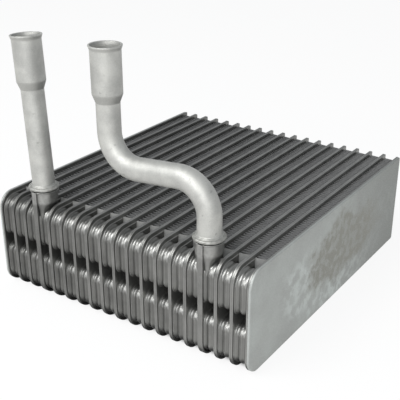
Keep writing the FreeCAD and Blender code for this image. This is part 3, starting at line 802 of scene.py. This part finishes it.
def makeEndPlate(node, side):
    low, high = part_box(node)
    e = endPlate
    bm = bmesh.new()
    front, rear = e["frontCorner"], e["rearCorner"]
    corners = boxCorners(0, 0, plate["length"], plate["height"], front, front, rear, 10)
    t, r = e["thickness"], e["edgeRound"]
    steps = [(0.15, 0.0), (0.0, 0.15), (0.0, t - r), (r * 0.29, t - r * 0.29), (r, t)]
    rings = [ring(bm, outline(corners, inset), height) for inset, height in steps]
    bridgeAll(bm, rings)
    fillFlat(bm, [rings[0]])
    fillFlat(bm, [rings[-1]])
    mesh = finishMesh(bm, "endSheet_" + side)
    if side == "left":
        mesh.transform(Matrix.Diagonal((-1, 1, 1, 1)))
        mesh.flip_normals()
    mesh.transform(Matrix.Translation((high.x if side == "left" else low.x, frontY, 0)))
    mesh.materials.append(endSheetMetal)
    piece = bpy.data.objects.new("endSheet_" + side, mesh)
    scene.collection.objects.link(piece)
    weighNormals(piece)
    settle(piece, "end_plates", node)


makeEndPlate("end_plate_left", "left")
makeEndPlate("end_plate_right", "right")
print("end plates made")


pipe = {
    "radius": 8.0, "wall": 1.1, "endRound": 0.3, "neckFromFront": 11.0, "seat": 78.0, "neckTop": 84.0,
    "taper": 6.4, "socketRadius": 10.1, "socket": 28.2, "flareRadius": 11.0, "flare": 2.8,
    "around": 48,
    # height above the neck and radius of a rolled bead with a narrow ring on top; a thin dark gap stays below it
    "bead": [(-0.6, 8.0), (0.0, 8.0), (0.6, 8.5), (0.72, 10.2), (0.95, 10.65), (1.4, 10.88), (1.9, 10.9),
             (2.4, 10.7), (2.8, 10.2), (2.95, 9.5), (3.0, 9.2), (3.2, 9.05), (3.6, 8.95), (3.8, 8.6),
             (3.9, 8.05), (4.6, 8.0)],
}
inlet = {"station": 3, "turn": -18.3, "bendAt": 89.6, "top": 155.3, "lean": 4.0, "bend": 60.0}
outlet = {"station": 15, "turn": -1.7, "runStart": 122.4, "runEnd": 114.7, "reach": 79.6, "top": 157.3, "bend": 21.5}


def layRoute(points, radius):
    # straight runs joined by arcs of one radius: (place, direction) frames along the route
    path = [Vector(p) for p in points]
    frames = [(path[0], (path[1] - path[0]).normalized())]
    for before, corner, after in zip(path, path[1:], path[2:]):
        into = (corner - before).normalized()
        away = (after - corner).normalized()
        turn = into.angle(away)
        axis = into.cross(away).normalized()
        start = corner - into * radius * math.tan(turn / 2)
        inward = axis.cross(into)
        centre = start + inward * radius
        steps = max(3, round(math.degrees(turn) / 4))
        for step in range(steps + 1):
            spin = Matrix.Rotation(turn * step / steps, 3, axis)
            frames.append((centre + spin @ (-inward * radius), spin @ into))
    frames.append((path[-1], (path[-1] - path[-2]).normalized()))
    return frames


def sweep(bm, stations, around):
    # rings of given radius along frames that don't twist
    mark = bm.verts.layers.float.new("band")
    rows = []
    side = None
    for place, direction, radius, *band in stations:
        if side is None:
            side = Vector((1, 0, 0))
        side = (side - direction * side.dot(direction)).normalized()
        up = direction.cross(side)
        row = []
        for k in range(around):
            angle = 2 * math.pi * k / around
            vert = bm.verts.new((place + (side * math.cos(angle) + up * math.sin(angle)) * radius) * mm)
            vert[mark] = band[0] if band else 0.0
            row.append(vert)
        rows.append(row)
    bridgeAll(bm, rows)
    return rows


def mouthProfile():
    # (height above the route's end, radius, dullness and painted shade): taper, socket, flared lip, then down the
    # inside
    c = pipe
    r, w, a, s, f = c["radius"], c["wall"], c["taper"], c["socketRadius"], c["flareRadius"]
    mouth = a + c["socket"]
    lip = mouth + c["flare"]
    taper = [(0.0, r, 0), (0.55, r + 0.03, 0), (0.8, r + 0.08, 0.8), (1.5, r + 0.35, 0.8),
             (a - 1.4, s - 0.4, 0.8), (a - 0.6, s - 0.1, 0.7), (a + 0.2, s, 0.6), (a + 0.4, s, 0)]
    socket = [(a + 1.0, s, 0), (mouth - 0.9, s, 0), (mouth - 0.3, s + 0.02, 0), (mouth, s + 0.08, 0.3)]
    flare = [(mouth + 0.8, s + 0.35, 0.6), (lip - 1.1, s + 0.72, 0.6), (lip - 1.0, f - 0.15, 0),
             (lip - 0.6, f, 0), (lip - 0.2, f, 0), (lip, f - 0.15, 0), (lip, f - 1.0, 0),
             (lip - 0.15, f - 1.15, 0), (lip - 0.25, f - 1.3, 1)]
    inside = [(lip - 1.6, s - w + 0.3, 1), (lip - 1.8, s - w + 0.2, 0.2), (mouth - 0.8, s - w, 0),
              (a + 0.5, s - w, 0), (a - 1.0, r - w, 0), (0.0, r - w, 0)]
    return taper + socket + flare + inside


def makePipe(name, node, route, points):
    c = pipe
    bm = bmesh.new()
    frames = layRoute(points, route["bend"])
    r, w = c["radius"], c["wall"]
    first, upward = frames[0]
    end, way = frames[-1]
    lift = c["neckTop"] - c["seat"]
    stations = [(first, upward, r - c["endRound"]), (first + upward * c["endRound"], upward, r)]
    stations += [(first + upward * (lift + height), upward, radius) for height, radius in c["bead"]]
    stations += [(place, direction, r) for place, direction in frames[1:-1]]
    stations += [(end + way * along, way, radius, band) for along, radius, band in mouthProfile()]
    stations += [(place, direction, r - w) for place, direction in reversed(frames[1:-1])]
    stations.append((first, upward, r - w))
    rows = sweep(bm, stations, c["around"])
    bridge(bm, rows[-1], rows[0])
    mesh = finishMesh(bm, name)
    spin = Matrix.Rotation(math.radians(route["turn"]), 4, "Z")
    spot = Vector((stationX[route["station"]], frontY + c["neckFromFront"] * mm, 0))
    mesh.transform(Matrix.Translation(spot) @ spin)
    mesh.materials.append(drawnTube)
    piece = bpy.data.objects.new(name, mesh)
    scene.collection.objects.link(piece)
    weighNormals(piece)
    settle(piece, "pipes", node)


lean = math.tan(math.radians(inlet["lean"])) * (inlet["top"] - inlet["bendAt"])
makePipe("inletTube", "inlet_pipe", inlet,
         [(0, 0, pipe["seat"]), (0, 0, inlet["bendAt"]), (-lean, 0, inlet["top"])])
makePipe("outletTube", "outlet_pipe", outlet,
         [(0, 0, pipe["seat"]), (0, 0, outlet["runStart"]), (-outlet["reach"], 0, outlet["runEnd"]),
          (-outlet["reach"], 0, outlet["top"])])
print("pipes made")


floorLook = {
    "size": 6.0, "drop": 0.0002, "colour": (0.9, 0.9, 0.9, 1), "glowShare": 0.88, "softEdge": 0.004,
    # the camera looks under the rounded front corners, which themselves reflect the dark beneath
    "cameraLine": (0.008, 0.014), "mirrorLine": (-0.002, 0.006),
}


def makeFloor():
    look = floorLook
    bm = bmesh.new()
    bmesh.ops.create_grid(bm, x_segments=1, y_segments=1, size=look["size"])
    mesh = bpy.data.meshes.new("floor")
    bm.to_mesh(mesh)
    bm.free()
    floor = bpy.data.objects.new("floor", mesh)
    scene.collection.objects.link(floor)
    floor.location = (0, 0, -look["drop"])
    made = bpy.data.materials.new("paperFloor")
    made.use_nodes = True
    tree = made.node_tree
    tree.nodes.clear()
    matt = addNode(tree, "ShaderNodeBsdfDiffuse", (0, 0), {"Color": look["colour"]})
    glow = addNode(tree, "ShaderNodeEmission", (0, -200))
    path = addNode(tree, "ShaderNodeLightPath", (-600, 200)).outputs
    # the white only holds outside the footprint, so it stays dark under the object
    where = addNode(tree, "ShaderNodeTexCoord", (-1100, -200))
    at = split(tree, where.outputs["Object"], (-950, -200))
    sides = remap(tree, calc(tree, "ABSOLUTE", at["X"]), cadHigh[0] - look["softEdge"], cadHigh[0])
    outside = calc(tree, "MAXIMUM", sides, remap(tree, at["Y"], cadHigh[1] - look["softEdge"], cadHigh[1]))

    def whiteBefore(line):
        start, end = (frontY + depth for depth in look[line])
        return calc(tree, "MAXIMUM", outside, remap(tree, at["Y"], start, end, 1.0, 0.0))

    mirrored = calc(tree, "MAXIMUM", path["Is Glossy Ray"], path["Is Transmission Ray"], (-400, 200))
    seen = calc(tree, "MAXIMUM", calc(tree, "MULTIPLY", path["Is Camera Ray"], whiteBefore("cameraLine")),
                calc(tree, "MULTIPLY", mirrored, whiteBefore("mirrorLine")))
    glowing = calc(tree, "MULTIPLY", seen, look["glowShare"], (-100, 200))
    mix = addNode(tree, "ShaderNodeMixShader", (250, 0), {0: glowing, 1: matt.outputs[0], 2: glow.outputs[0]})
    addNode(tree, "ShaderNodeOutputMaterial", (450, 0), {"Surface": mix.outputs[0]})
    mesh.materials.append(made)
    floor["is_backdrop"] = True


# a dim bluish room for the light, plain white behind the object for the camera
worldLook = [((0.94, 0.97, 1.0, 1), 0.55), ((1, 1, 1, 1), 1.0)]


def makeWorld():
    world = bpy.data.worlds.new("studio")
    scene.world = world
    world.use_nodes = True
    tree = world.node_tree
    tree.nodes.clear()
    path = addNode(tree, "ShaderNodeLightPath", (-600, 0))
    mix = addNode(tree, "ShaderNodeMixShader", (100, 0), {0: path.outputs["Is Camera Ray"]})
    for index, (colour, strength) in enumerate(worldLook, 1):
        light = addNode(tree, "ShaderNodeBackground", (-200, 300 - 200 * index),
                        {"Color": colour, "Strength": strength})
        tree.links.new(light.outputs[0], mix.inputs[index])
    addNode(tree, "ShaderNodeOutputWorld", (300, 0), {"Surface": mix.outputs[0]})


def addLamp(name, place, size, power):
    aim = Vector((0, 0, 0.05))
    lamp = bpy.data.lights.new(name, "AREA")
    lamp.shape = "RECTANGLE"
    lamp.size, lamp.size_y = size
    lamp.energy = power
    holder = bpy.data.objects.new(name, lamp)
    scene.collection.objects.link(holder)
    holder.location = place
    holder.rotation_euler = (aim - Vector(place)).to_track_quat("-Z", "Y").to_euler()


# fitted to the plate edges in the photo
view = {
    "sensor": 36.0, "lens": 70.93, "shift": (-0.0005, 0.0128), "place": (0.3122, -0.4713, 0.3071),
    "right": (0.82628, 0.56325, -0.00113), "up": (-0.23393, 0.34500, 0.90899), "back": (0.51238, -0.75082, 0.41683),
}


def makeCamera():
    data = bpy.data.cameras.new("camera")
    data.sensor_width = view["sensor"]
    data.lens = view["lens"]
    data.shift_x, data.shift_y = view["shift"]
    data.clip_start, data.clip_end = 0.01, 50
    holder = bpy.data.objects.new("camera", data)
    scene.collection.objects.link(holder)
    turned = Matrix((view["right"], view["up"], view["back"])).transposed()
    holder.matrix_world = Matrix.Translation(view["place"]) @ turned.to_4x4()
    scene.camera = holder


makeFloor()
makeWorld()
addLamp("softAbove", (-0.42, -0.88, 1.15), (0.9, 0.9), 15)
addLamp("softFront", (0.8, -1.5, 0.75), (1.0, 0.9), 12)
makeCamera()
scene.view_settings.view_transform = "Standard"

low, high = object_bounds()
